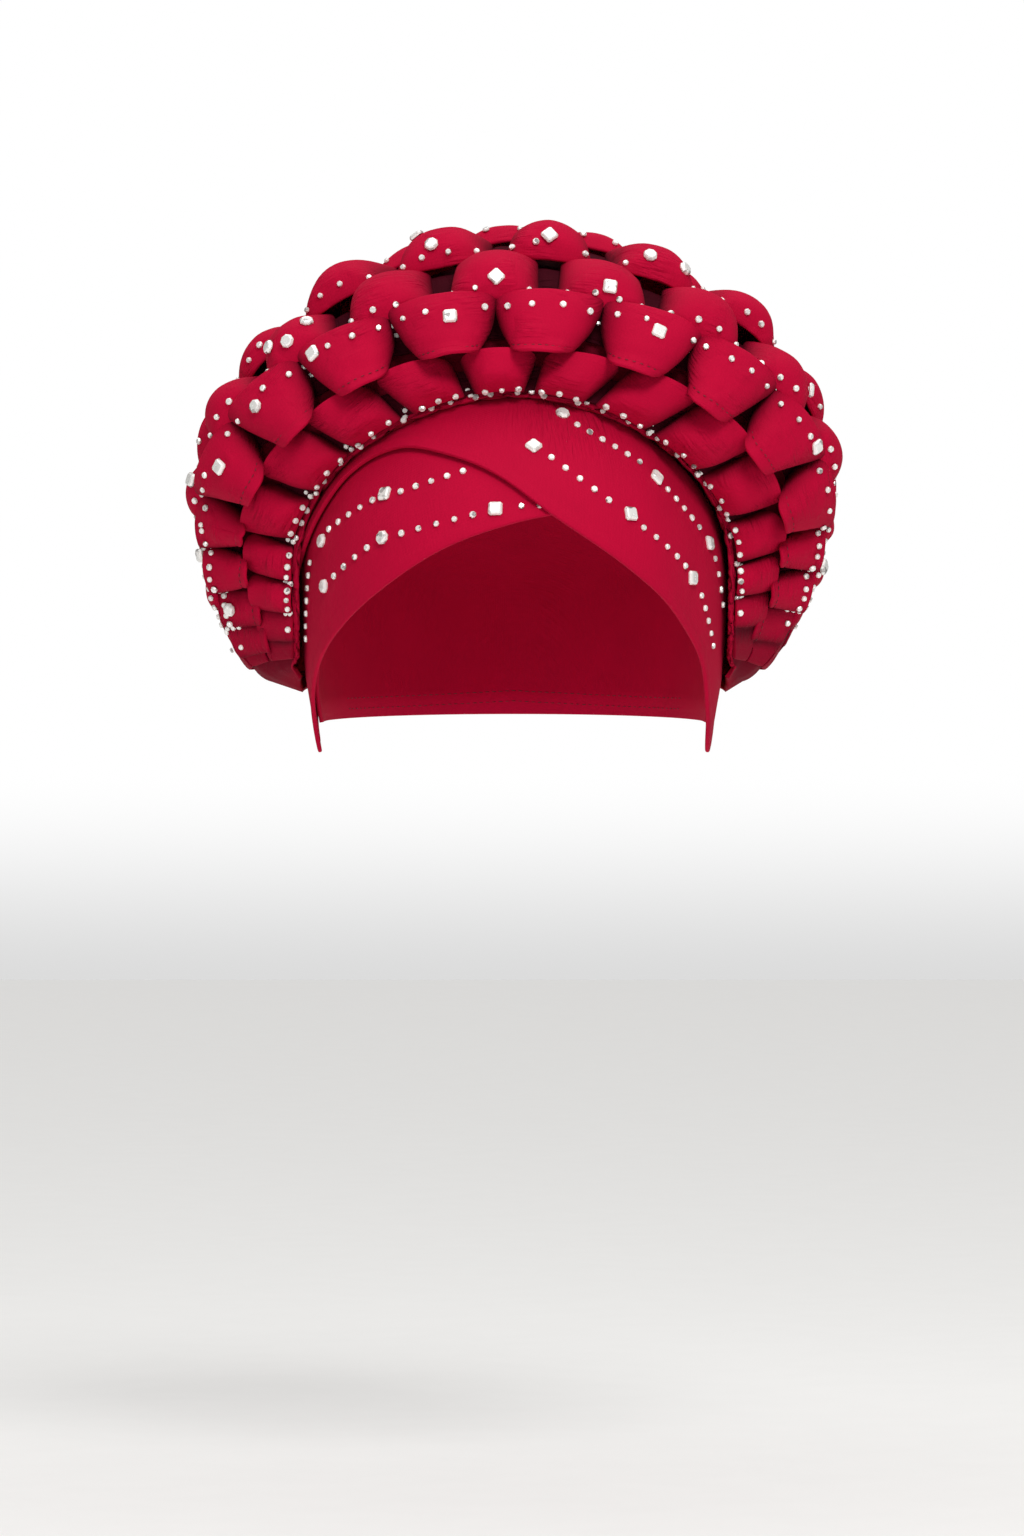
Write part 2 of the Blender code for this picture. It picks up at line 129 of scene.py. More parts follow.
# Rows of pleats, from the wrap to the back. Columns: start and end along the row at a crest,
# how far the face hem and the back hem draw back in the valleys, crest height as a share of the
# pitch, shares of that height at the face hem, a third along and the back hem, belly width at
# the face hem and the back hem, and height of the valley's floor at both hems
PLEAT_ROWS = (
    (0.045, 0.97, 0.06, 0.30, 0.46, 0.26, 0.96, 0.90, 0.78, 0.87, 0.05, 0.00),
    (-0.26, 0.98, 0.62, 0.00, 0.55, 1.16, 1.00, 0.72, 0.63, 0.985, 0.00, 0.50),
    (-0.10, 0.98, 0.14, 0.12, 0.49, 0.54, 1.00, 0.40, 0.82, 0.74, 0.38, 0.20),
    (-0.14, 0.98, 0.15, 0.12, 0.52, 0.44, 1.00, 0.40, 0.80, 0.76, 0.30, 0.20),
    (-0.14, 0.98, 0.14, 0.00, 0.47, 0.44, 0.94, 0.36, 0.84, 0.92, 0.28, 0.10),
)

# Angles between which pleats melt into plain cloth, the last angle that pleats may fill, and
# the plain ends' own columns
PLEAT_FADE = (108.0, 142.0)
ROW_REACH = 161.0
ROW_FLAPS = (158.0, 165.0, 172.0)
# Pleats of the upper rows get lower at the sides: first angle, last angle, share lost
SIDE_SETTLE = (40.0, 110.0, 0.28)
# Share along a pleat where its crest is highest, and the widest belly
CREST_AT = 0.35
WIDEST_BELLY = 0.985

# Rings of a row's grid as shares along it, closer at both hems
HEM_RINGS = (0.0, 0.03, 0.07, 0.11, 0.14, 0.17, 0.22)
MIDDLE_RINGS = (0.31, 0.41, 0.5, 0.59, 0.69)
ROW_RINGS = (*HEM_RINGS, *MIDDLE_RINGS, *(1 - ring for ring in reversed(HEM_RINGS)))
# The second row's face hem is sewn down on its fifth ring, where the cloth dips by 0.45 mm
STITCHED_ROW, STITCHED_RING, STITCH_DIP = 1, 4, 0.45

# Main crystals on the wrap: band, azimuth, drop, outline
WRAP_STONES = (
    ("over", 18, 0.12, "octagon"),
    ("over", 6, 0.21, "diamond"),
    ("over", 45, 0.285, "diamond"),
    ("over", 32, 0.385, "square"),
    ("over", 65, 0.45, "square"),
    ("over", 54, 0.545, "square"),
    ("under", -39, 0.33, "square"),
    ("under", -37, 0.445, "round"),
    ("under", -63, 0.445, "round"),
    ("under", -60, 0.565, "round"),
    ("under", -5, 0.375, "square"),
)

# Main crystals on the crown: row, pleat counted from the top, share across, share along, outline
CROWN_STONES = (
    (1, -0.5, 0.15, 0.70, "square"),
    (1, 1.5, 0.05, 0.72, "square"),
    (1, -1.5, -0.60, 0.82, "square"),
    (1, -2.5, -0.15, 0.70, "octagon"),
    (1, -3.5, 0.15, 0.64, "square"),
    (1, -6.5, 0.05, 0.70, "round"),
    (1, 3.5, 0.60, 0.84, "square"),
    (2, 0, 0.15, 0.18, "diamond"),
    (2, 1, 0.05, 0.18, "square"),
    (2, -2, 0.60, 0.35, "round"),
    (2, -2, 0.05, 0.18, "round"),
    (2, -2, -0.45, 0.28, "round"),
    (2, -4, 0.30, 0.22, "square"),
    (2, -5, -0.30, 0.20, "square"),
    (2, 3, 0.65, 0.34, "octagon"),
    (2, 6, -0.25, 0.20, "diamond"),
    (3, -0.5, -0.45, 0.50, "square"),
    (3, -0.5, -0.05, 0.16, "round"),
    (3, 0.5, 0.05, 0.16, "diamond"),
    (3, 1.5, 0.50, 0.20, "round"),
    (3, 1.5, -0.35, 0.18, "round"),
)

# Lines of small crystals on the wrap: band, azimuth and drop at both ends, count
WRAP_LINES = (
    ("over", 22.0, 0.150, 40.0, 0.245, 6),
    ("over", 48.5, 0.315, 60.5, 0.410, 5),
    ("over", 68.0, 0.490, 75.0, 0.610, 4),
    ("over", 11.0, 0.240, 26.0, 0.350, 5),
    ("over", 35.5, 0.420, 50.5, 0.515, 5),
    ("over", 59.0, 0.590, 68.0, 0.720, 5),
    ("under", -60.0, 0.415, -43.0, 0.345, 5),
    ("under", -33.5, 0.325, -15.0, 0.275, 5),
    ("under", -55.0, 0.540, -42.0, 0.470, 4),
    ("under", -31.0, 0.435, -11.0, 0.390, 5),
    ("under", 2.0, 0.368, 7.0, 0.366, 2),
    ("under", -70.0, 0.500, -76.0, 0.700, 7),
)

# Lines of small crystals across each pleat: row, share along, count across, widest share
CROWN_LINES = (
    (0, 0.06, 3, 0.70),
    (1, 0.80, 4, 0.78),
    (2, 0.10, 4, 0.80),
    (3, 0.10, 4, 0.80),
    (4, 0.12, 2, 0.40),
)

# Tiers of a crystal, from its foiled back to its table: height share and width share
CRYSTAL_TIERS = ((0.0, 0.95), (0.35, 1.0), (0.78, 0.88), (1.0, 0.70))
# A square crystal's cut corners: half their spread in degrees, and their reach
SQUARE_CHAMFER = 9
SQUARE_REACH = 1.18
# Height of a small crystal as a share of a main one's
SMALL_RISE = 0.62
# Pleats past this one bear a single crystal, and the ruched strip is lined up to this angle
LINED_PLEATS = 6.9
LINED_ANGLE = 96

# Width of a wale of the knit as drawn, coarser than the real 0.5 mm so that it shows
WALE = 1.2 * MM

# Studio: floor level, the floor's tone at the horizon, lamps as place and power, their size,
# what they aim at, and the camera's distance
FLOOR_LEVEL = -0.42
HORIZON_TONE = 0.71
LAMPS = {"key": ((0.45, -1.75, 1.4), 27), "fill": ((-0.7, -2.2, 0.4), 4.5)}
LAMP_SIZE = 0.7
LAMP_AIM = (0, 0, -0.04)
CAMERA_DISTANCE = 2.40
# Photograph: height in pixels, and what one of them spans
PHOTO_HEIGHT = 1536
PIXEL = 0.37 * MM


def blend(first, second, share):
    return first + (second - first) * share


def ease(share):
    share = max(0.0, min(1.0, share))
    return share * share * (3 - 2 * share)


def measure(name, description, default):
    """A property that holds a length."""
    return bpy.props.FloatProperty(name=name, description=description, default=default,
                                   unit="LENGTH")


class TurbanForm(bpy.types.PropertyGroup):
    """Sizes of the head form, the wrap and the crown."""

    head_width: measure("Head Width", "Breadth of the head that it fits", 152 * MM)
    head_length: measure("Head Length", "Length of the head that it fits", 190 * MM)
    widest_drop: measure("Widest Drop", "Top of the head down to its widest level", 75 * MM)
    lower_reach: measure("Lower Reach", "How slowly the form narrows below", 150 * MM)
    cap_wall: measure("Cap Wall", "Thickness of the cap's knit", 1.4 * MM)
    band_wall: measure("Band Wall", "Thickness of the wrap's knit", 1.6 * MM)
    layer_gap: measure("Layer Gap", "Air between layers of cloth", 0.7 * MM)
    wrap_drop: measure("Wrap Drop", "Top of the head down to the wrap's lowest edge", 139 * MM)
    crown_spread: measure("Crown Spread", "How far the crown stands out beside the head", 39 * MM)
    crown_rise: measure("Crown Rise", "How far the foundation rises above the head", 46 * MM)
    crown_drop: measure("Crown Drop", "Top of the head down to the crown's ends", 113 * MM)
    crown_lean: bpy.props.FloatProperty(
        name="Crown Lean", description="Sideways lean of the crown for each unit of height",
        default=0.045)
    back_bulge: measure("Back Bulge", "Fullness of the plain back", 28 * MM)
    nape_drop: measure("Nape Drop", "Top of the head down to the crown's edge at the nape",
                       106 * MM)


class TurbanPleats(bpy.types.PropertyGroup):
    """Spacing, wall and unevenness of the pleats."""

    step: bpy.props.FloatProperty(
        name="Step", description="Angle from one pleat to the next, in degrees", default=19.4)
    phase: bpy.props.FloatProperty(
        name="Phase", description="Angle of the middle pleat, in degrees", default=-5.0)
    belly: bpy.props.FloatProperty(
        name="Belly", description="How far a pleat turns under at its foot, in degrees",
        default=106.0)
    wall: measure("Wall", "Thickness of the pleats' knit", 1.5 * MM)
    uneven: bpy.props.FloatProperty(
        name="Uneven", description="How much one pleat differs from the next", default=0.09)


class TurbanStones(bpy.types.PropertyGroup):
    """Sizes of the crystals."""

    large: measure("Large Crystal", "Width of a main crystal", 5.4 * MM)
    small: measure("Small Crystal", "Width of a small crystal", 2.5 * MM)
    rise: measure("Rise", "Height of a main crystal", 1.7 * MM)
    line_spacing: measure("Line Spacing", "Spacing of the small crystals along the wrap's rim",
                          6.2 * MM)


def hex_to_linear(code):
    """Turn an sRGB hex colour into linear red, green, blue and alpha."""
    channels = [int(code[i:i + 2], 16) / 255 for i in (1, 3, 5)]
    linear = [c / 12.92 if c <= 0.04045 else ((c + 0.055) / 1.055) ** 2.4 for c in channels]
    return (*linear, 1.0)


class TurbanColoursAndPaintedShade(bpy.types.PropertyGroup):
    """Colours of the cloth, the painted shade in its valleys, and the crystals."""

    lit: bpy.props.FloatVectorProperty(
        name="Crimson", description="Cloth on the crests", subtype="COLOR", size=4,
        default=hex_to_linear("#B30030"))
    # Painted shade: this darker crimson stands for the shade deep in the valleys and folds, and
    # is mixed into the cloth's colour there; the cloth itself is the lit crimson above.
    painted_fold_shade: bpy.props.FloatVectorProperty(
        name="Fold Crimson", description="Cloth deep in the valleys", subtype="COLOR", size=4,
        default=hex_to_linear("#3C0010"))
    crystal: bpy.props.FloatVectorProperty(
        name="Crystal", description="Foil-backed crystal", subtype="COLOR", size=4,
        default=hex_to_linear("#F7F5F1"))


def smooth_row(table, share):
    """Read a table's columns at a share of its length, on a smooth curve through its rows."""
    place = max(0.0, min(1.0, share)) * (len(table) - 1)
    index = min(int(place), len(table) - 2)
    part = place - index
    before = table[max(index - 1, 0)]
    after = table[min(index + 2, len(table) - 1)]
    square = part * part
    cube = square * part
    values = []
    for a, b, c, d in zip(before, table[index], table[index + 1], after):
        values.append((2 * cube - 3 * square + 1) * b + (cube - 2 * square + part) * (c - a) / 2
                      + (3 * square - 2 * cube) * c + (cube - square) * (d - b) / 2)
    return values


def head_point(form, azimuth, height, offset):
    """Point at an azimuth (0 is the brow) and height, off the head by the offset."""
    above = height + form.widest_drop
    reach = (form.widest_drop if above > 0 else form.lower_reach) + offset
    radius = math.sqrt(max(0.0, 1.0 - (above / reach) ** 2))
    turn = math.radians(azimuth)
    return Vector(((form.head_width / 2 + offset) * radius * math.sin(turn),
                   -(form.head_length / 2 + offset) * radius * math.cos(turn),
                   height))


def under_offset(form):
    return form.cap_wall + form.layer_gap + form.band_wall / 2


def over_offset(form, azimuth):
    """The over band's distance off the head: on the under band first, then on the cap."""
    first, last = OVERLAP_AZIMUTHS
    return (under_offset(form)
            + (form.band_wall + form.layer_gap) * (1 - ease((azimuth - first) / (last - first))))


def first_ring_point(form, angle):
    """Where the crown rises out of the wrap."""
    offset = over_offset(form, 0) + form.band_wall / 2 + form.layer_gap + form.band_wall
    side = math.copysign(1, angle)
    size = abs(angle)
    top, middle, low = FIRST_RING_DROPS
    if size <= RING_SIDES[0]:
        turn = math.radians(90 * size / RING_SIDES[0])
        azimuth = FIRST_RING_AZIMUTHS[0] * math.sin(turn)
        drop = blend(middle, top, math.cos(turn))
    else:
        turn = math.radians(90 * (size - RING_SIDES[0]) / (RING_END - RING_SIDES[0]))
        azimuth = blend(FIRST_RING_AZIMUTHS[1], FIRST_RING_AZIMUTHS[0], math.cos(turn))
        drop = blend(middle, low, math.sin(turn))
    return head_point(form, side * azimuth, -drop * form.crown_drop, offset)


def ring_point(form, ring, angle):
    """Point of a ring at an angle from its top: two quarter ellipses on each side."""
    if ring == 0:
        return first_ring_point(form, angle)
    (top_depth, top_height, side_width, side_depth, side_drop,
     end_width, end_depth, end_drop) = RINGS[ring - 1]
    side = math.copysign(1, angle)
    size = abs(angle)
    if size <= RING_SIDES[1]:
        turn = math.radians(90 * size / RING_SIDES[1])
        width = side_width * math.sin(turn)
        depth = blend(side_depth, top_depth, math.cos(turn))
        height = blend(-side_drop * form.crown_drop, top_height * form.crown_rise,
                       math.cos(turn))
    else:
        turn = math.radians(90 * (size - RING_SIDES[1]) / (RING_END - RING_SIDES[1]))
        width = blend(end_width, side_width, math.cos(turn))
        depth = blend(side_depth, end_depth, math.sin(turn))
        height = -blend(side_drop, end_drop, math.sin(turn)) * form.crown_drop
    lean = form.crown_lean * (height + side_drop * form.crown_drop)
    half_width = form.head_width / 2 + form.crown_spread
    return Vector((side * width * half_width + lean, depth * form.head_length / 2, height))


def back_point(form, angle, share):
    """Plain back of the crown, from the last ring down to the nape in one full curve."""
    start = ring_point(form, len(RINGS), angle)
    reach = min(abs(angle) / RING_END, 1.0)
    azimuth = math.copysign(blend(180, BACK_END_AZIMUTH, reach), angle)
    offset = (form.cap_wall + form.layer_gap + form.band_wall
              + (form.band_wall + form.layer_gap) * reach)
    end = head_point(form, azimuth, -blend(form.nape_drop, form.crown_drop, reach), offset)
    bulge = end.y + form.back_bulge * (1 - reach)
    middle = Vector((start.x, max(bulge, start.y), blend(start.z, end.z, BACK_SHOULDER)))
    return (start * (1 - share) ** 2 + middle * (2 * share * (1 - share))
            + end * share ** 2)


def crown_point(form, angle, ring):
    """Point of the crown's face between two rings, or past the last ring on its back."""
    last = len(RINGS)
    if ring > last:
        return back_point(form, angle, ring - last)
    index = max(0, min(int(ring), last - 1))
    start = ring_point(form, index, angle)
    return start.lerp(ring_point(form, index + 1, angle), ring - index)


def crown_normal(form, angle, ring):
    """Outward direction of the crown, eased over half a row to each side."""
    last = len(RINGS) + 1
    along = (crown_point(form, min(angle + 2, RING_END), ring)
             - crown_point(form, max(angle - 2, -RING_END), ring))
    across = (crown_point(form, angle, min(ring + 0.5, last))
              - crown_point(form, angle, max(ring - 0.5, 0)))
    return along.cross(across).normalized()


def pleat_centres(pleats, row):
    """Pleat numbers of a row: whole ones, or halves on every other row."""
    shift = 0.5 * (row % 2)
    count = int((ROW_REACH - pleats.step / 2) / pleats.step - shift)
    first = -count - shift
    return [first + index for index in range(2 * count + 1 + round(2 * shift))]


def pleat_character(row, pleat):
    """How one pleat differs from the next: height, width, turn and sideways shift, -1 to 1."""
    dice = random.Random(1009 * row + round(2 * pleat) + 77)
    return [dice.uniform(-1, 1) for _ in range(4)]


def along_profile(values, along):
    """Smooth curve through a value at the face hem, a third of the way and the back hem."""
    face, middle, back = values
    if along < CREST_AT:
        return blend(face, middle, math.sin(math.pi / 2 * along / CREST_AT))
    return blend(back, middle, math.cos(math.pi / 2 * (along - CREST_AT) / (1 - CREST_AT)))


def pleat_fade(centre):
    """How far a pleat has melted into plain cloth, towards the row's ends."""
    return ease((abs(centre) - PLEAT_FADE[0]) / (PLEAT_FADE[1] - PLEAT_FADE[0]))


def pleat_point(form, pleats, row, pleat, turn, along):
    """Point of a pleat's cloth. turn runs from foot to foot over the crest, -1 to 1, and along
    runs from the face hem to the back hem. Also gives how high on the pleat it is, 0 to 1, and
    the crown's outward direction there."""
    (start, end, face_draw, back_draw, height_share, face_height, middle_height, back_height,
     face_belly, back_belly, face_floor, back_floor) = PLEAT_ROWS[row]
    tall, wide, skew, shift = pleat_character(row, pleat)
    uneven = pleats.uneven
    centre = pleat * pleats.step + pleats.phase
    fade = pleat_fade(centre)
    limit = math.radians(blend(pleats.belly, 90, fade))
    widening = 1 - (1 - along) ** 1.5
    belly = blend(face_belly, back_belly, widening) * (1 + 0.5 * uneven * wide)
    belly = blend(min(belly, WIDEST_BELLY), 1.0, fade)
    section = limit * turn
    across = belly * math.sin(section)
    rise = max(0.0, (math.cos(section) - math.cos(limit)) / (1 - math.cos(limit)))
    floor = face_floor * (1 - ease(along / 0.3)) + back_floor * ease((along - 0.5) / 0.5)
    draw = (1 - rise) ** 2 * (1 - fade)
    first = start + face_draw * draw * (1 + 1.5 * uneven * skew * turn)
    last = end - back_draw * draw
    place = max(row + blend(first, last, along), 0.02)
    slant = (1.6 * skew * (along - 0.5) + 0.8 * shift) * uneven * rise
    angle = centre + pleats.step / 2 * (across + slant)
    pitch = (crown_point(form, centre + pleats.step / 2, row + 0.5)
             - crown_point(form, centre - pleats.step / 2, row + 0.5)).length
    peak = pitch * height_share * (1 - 0.8 * fade) * (1 + uneven * tall)
    if row > 1:
        first_side, last_side, settled = SIDE_SETTLE
        peak *= 1 - settled * ease((abs(centre) - first_side) / (last_side - first_side))
    lift = along_profile((face_height, middle_height, back_height), along)
    fullness = rise ** (1 - 0.3 * (1 - along) * (row == 1))
    height = peak * (fullness * (lift - floor) + floor)
    normal = crown_normal(form, angle, place)
    return crown_point(form, angle, place) + normal * height, rise, normal


def valley_point(form, pleats, row, pleat, along):
    """Middle of the valley's floor past a pleat."""
    left = pleat_point(form, pleats, row, pleat, 1, along)[0]
    right = pleat_point(form, pleats, row, pleat + 1, -1, along)[0]
    return left.lerp(right, 0.5)


def add_node(tree, kind, settings=None, links=None):
    """Add a shader node, set its properties and inputs, and link sockets into it. An input goes
    by its name, or by its number where several share one."""
    node = tree.nodes.new(kind)
    for name, value in (settings or {}).items():
        if isinstance(name, int) or name in node.inputs:
            node.inputs[name].default_value = value
        else:
            setattr(node, name, value)
    for name, socket in (links or {}).items():
        tree.links.new(socket, node.inputs[name])
    return node


def new_material(name, values):
    """A material with these constants on its shader's own sockets."""
    material = bpy.data.materials.new(name)
    material.use_nodes = True
    shader = material.node_tree.nodes["Principled BSDF"]
    for socket, value in values.items():
        shader.inputs[socket].default_value = value
    return material, material.node_tree, shader


def scuba_knit(name, finish, depth, creasing, creased_at=None):
    """Polyester scuba: a dense double knit with a peached face. It looks matt and even, with a
    soft bloom at grazing angles and wales fine enough to read as grain. Its colour carries
    painted shade: the fold crimson is mixed in deep in the valleys and folds, down to depth,
    the least share of lit crimson."""
    material, tree, shader = new_material(name, {
        "Roughness": 0.82, "Specular IOR Level": 0.10, "Sheen Weight": 0.03,
        "Sheen Roughness": 0.4, "Sheen Tint": hex_to_linear("#F05070")})
    cloth = add_node(tree, "ShaderNodeUVMap", {"uv_map": "cloth"}).outputs["UV"]
    place = add_node(tree, "ShaderNodeTexCoord").outputs["Object"]
    # Painted shade: the attribute read here sets how much of the lit crimson is kept, and the
    # rest is the fold crimson painted in where the cloth lies deep in valleys and folds.
    painted_light_share = add_node(tree, "ShaderNodeAttribute", {"attribute_name": "painted_light_share"})
    height = add_node(tree, "ShaderNodeMapRange",
                      {"interpolation_type": "SMOOTHSTEP", "From Max": 0.95, "To Min": depth},
                      {"Value": painted_light_share.outputs["Fac"]})
    colour = add_node(tree, "ShaderNodeMix",
                      {"data_type": "RGBA", 6: finish.painted_fold_shade, 7: finish.lit},
                      {"Factor": height.outputs["Result"]})
    mottle = add_node(tree, "ShaderNodeTexNoise", {"Scale": 45.0, "Detail": 3.0},
                      {"Vector": place})
    tint = add_node(tree, "ShaderNodeMapRange", {"To Min": 0.90, "To Max": 1.08},
                    {"Value": mottle.outputs["Fac"]})
    varied = add_node(tree, "ShaderNodeHueSaturation", None,
                      {"Color": colour.outputs[2], "Value": tint.outputs["Result"]})
    tree.links.new(varied.outputs["Color"], shader.inputs["Base Color"])
    stitch = {"Scale": math.pi / 10 / WALE, "Distortion": 0.6, "Detail": 1.0}
    wales, courses = [add_node(tree, "ShaderNodeTexWave", {"bands_direction": way, **stitch},
                               {"Vector": cloth}).outputs["Fac"] for way in "XY"]
    fuzz = add_node(tree, "ShaderNodeTexNoise", {"Scale": 1400.0, "Detail": 2.0},
                    {"Vector": place})
    knit = add_node(tree, "ShaderNodeMath", {"operation": "ADD"}, {0: wales, 1: courses})
    grain = add_node(tree, "ShaderNodeMath", {"operation": "ADD"},
                     {0: knit.outputs["Value"], 1: fuzz.outputs["Fac"]})
    relief = add_node(tree, "ShaderNodeBump", {"Strength": 0.2, "Distance": 0.1 * MM},
                      {"Height": grain.outputs["Value"]})
    # Drag lines: shallow creases 1 to 2 mm apart, in patches, or round one place on the wrap
    if creased_at is None:
        spread = (90.0, 620.0, 1.0)
        patches = add_node(tree, "ShaderNodeTexNoise", {"Scale": 60.0}, {"Vector": place})
        patch = add_node(tree, "ShaderNodeMapRange", {"From Min": 0.48, "From Max": 0.66},
                         {"Value": patches.outputs["Fac"]})
    else:
        spread = (560.0, 70.0, 1.0)
        near = add_node(tree, "ShaderNodeVectorMath", {"operation": "DISTANCE", 1: creased_at},
                        {0: place})
        patch = add_node(tree, "ShaderNodeMapRange",
                         {"From Min": 10 * MM, "From Max": 24 * MM, "To Min": 1.0,
                          "To Max": 0.06}, {"Value": near.outputs["Value"]})
    stretched = add_node(tree, "ShaderNodeMapping", {"Scale": spread}, {"Vector": cloth})
    drag = add_node(tree, "ShaderNodeTexNoise", {"Scale": 1.0, "Detail": 2.0},
                    {"Vector": stretched.outputs["Vector"]})
    lines = add_node(tree, "ShaderNodeMath", {"operation": "MULTIPLY"},
                     {0: drag.outputs["Fac"], 1: patch.outputs["Result"]})
    creases = add_node(tree, "ShaderNodeBump", {"Strength": 1.0, "Distance": creasing},
                       {"Height": lines.outputs["Value"], "Normal": relief.outputs["Normal"]})
    tree.links.new(creases.outputs["Normal"], shader.inputs["Normal"])
    return material


def sewing_thread(name, finish):
    """Spun polyester thread, drawn in the painted fold shade as the shade in its needle holes.
    Noise mixes in a lighter crimson as painted light that its twist catches in short dashes.
    """
    material, tree, shader = new_material(name, {"Roughness": 0.55})
    place = add_node(tree, "ShaderNodeTexCoord").outputs["Object"]
    painted_twist_glint = add_node(tree, "ShaderNodeTexNoise", {"Scale": 2500.0, "Detail": 1.0},
                     {"Vector": place})
    # Painted shade and painted highlights: the fold crimson stands for shade in the needle holes,
    # and the lighter crimson for light on the twist.
    shade = add_node(tree, "ShaderNodeMix",
                     {"data_type": "RGBA", 6: finish.painted_fold_shade, 7: hex_to_linear("#6E0420")},
                     {"Factor": painted_twist_glint.outputs["Fac"]})
    tree.links.new(shade.outputs[2], shader.inputs["Base Color"])
    return material


def foiled_crystal(name, finish):
    """Cut glass with a silver foil back: near white on its table, grey where a facet turns
    away, and small dark flashes painted at random spots as reflections of the cloth around it."""
    material, tree, shader = new_material(name, {"Metallic": 0.25, "Coat Weight": 0.5,
                                                 "Coat Roughness": 0.05})
    place = add_node(tree, "ShaderNodeTexCoord").outputs["Object"]
    # Painted reflections: random cells are drawn grey, standing for the foil mirroring the cloth.
    painted_reflection_cells = add_node(tree, "ShaderNodeTexVoronoi", {"Scale": 620.0}, {"Vector": place})
    share = add_node(tree, "ShaderNodeSeparateColor", None, {"Color": painted_reflection_cells.outputs["Color"]})
    painted_reflection_mask = add_node(tree, "ShaderNodeMapRange", {"From Min": 0.02, "From Max": 0.16},
                     {"Value": share.outputs["Red"]})
    tone = add_node(tree, "ShaderNodeMix",
                    {"data_type": "RGBA", 6: hex_to_linear("#8E8886"), 7: finish.crystal},
                    {"Factor": painted_reflection_mask.outputs["Result"]})
    tree.links.new(tone.outputs[2], shader.inputs["Base Color"])
    haze = add_node(tree, "ShaderNodeTexNoise", {"Scale": 900.0, "Detail": 2.0},
                    {"Vector": place})
    rough = add_node(tree, "ShaderNodeMapRange", {"To Min": 0.12, "To Max": 0.36},
                     {"Value": haze.outputs["Fac"]})
    tree.links.new(rough.outputs["Result"], shader.inputs["Roughness"])
    return material


def seamless_paper():
    """Matt white background paper, its tooth a faint change of tone."""
    material, tree, shader = new_material("seamless_paper", {"Roughness": 0.9})
    place = add_node(tree, "ShaderNodeTexCoord").outputs["Object"]
    tooth = add_node(tree, "ShaderNodeTexNoise", {"Scale": 40.0}, {"Vector": place})
    tone = add_node(tree, "ShaderNodeMix",
                    {"data_type": "RGBA", 6: hex_to_linear("#EBEAE8"),
                     7: hex_to_linear("#EEEDEB")}, {"Factor": tooth.outputs["Fac"]})
    tree.links.new(tone.outputs[2], shader.inputs["Base Color"])
    return material


def kept_material(make, name, *looks):
    """The named material, made on its first use."""
    return bpy.data.materials.get(name) or make(name, *looks)


def new_object(name, mesh_data, material):
    """Turn a finished bmesh into an object that rides on the turban."""
    mesh = bpy.data.meshes.new(name)
    mesh_data.to_mesh(mesh)
    mesh_data.free()
    mesh.materials.append(material)
    mesh.shade_smooth()
    made = bpy.data.objects.new(name, mesh)
    bpy.context.scene.collection.objects.link(made)
    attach(made, ROOT)
    return made


def solid_object(name, mesh_data, material, nodes=()):
    """A piece that isn't cloth, with its faces outwards and the nodes it stands for."""
    bmesh.ops.recalc_face_normals(mesh_data, faces=mesh_data.faces)
    made = new_object(name, mesh_data, material)
    if nodes:
        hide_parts(*nodes)
    return made


def add_wall(made, wall):
    """Give a sheet its thickness, half to each side."""
    solidify = made.modifiers.new("wall", "SOLIDIFY")
    solidify.thickness = wall
    solidify.offset = 0


def grid_lengths(points):
    """Running lengths of a grid of points, along its middle row and across each column."""
    columns = len(points)
    middle = len(points[0]) // 2
    along = [0.0]
    for column in range(1, columns):
        step = (points[column][middle] - points[column - 1][middle]).length
        along.append(along[-1] + step)
    across = []
    for column in points:
        run = [0.0]
        for first, second in zip(column, column[1:]):
            run.append(run[-1] + (second - first).length)
        across.append(run)
    return along, across


def cloth_from_grid(name, columns, rows, place, wall, material, levels):
    """Bend a flat grid of cloth into shape. place gives the point and the painted light share of
    each column and row: 1 keeps the lit crimson, lower values paint in shade. The sheet keeps
    its developed lengths as a UV map, in metres."""
    mesh_data = bmesh.new()
    bmesh.ops.create_grid(mesh_data, x_segments=columns, y_segments=rows, size=0.5)
    # Painted shade: a share of lit crimson for each point, lower where shade is painted into the
    # colour.
    painted_light_share = mesh_data.verts.layers.float.new("painted_light_share")
    index = {}
    points = [[None] * (rows + 1) for _ in range(columns + 1)]
    for vert in mesh_data.verts:
        column = round((vert.co.x + 0.5) * columns)
        row = round((vert.co.y + 0.5) * rows)
        index[vert] = (column, row)
        vert.co, vert[painted_light_share] = place(column, row)
        points[column][row] = vert.co.copy()
    along, across = grid_lengths(points)
    layer = mesh_data.loops.layers.uv.new("cloth")
    for face in mesh_data.faces:
        for loop in face.loops:
            column, row = index[loop.vert]
            loop[layer].uv = (along[column], across[column][row])
    bmesh.ops.recalc_face_normals(mesh_data, faces=mesh_data.faces)
    area = sum(face.calc_area() for face in mesh_data.faces)
    made = new_object(name, mesh_data, material)
    add_wall(made, wall)
    if levels:
        rounding = made.modifiers.new("rounding", "SUBSURF")
        rounding.levels = levels
        rounding.render_levels = levels
    width = max(run[-1] for run in across)
    return made, (width, max(along[-1], area / width)), area


def declare_cloth(nodes):
    """Hide the frame's nodes that the sheet stands for."""
    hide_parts(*nodes)


def settings():
    scene = bpy.context.scene
    return scene.turban_form, scene.turban_pleats, scene.turban_stones, scene.turban_finish


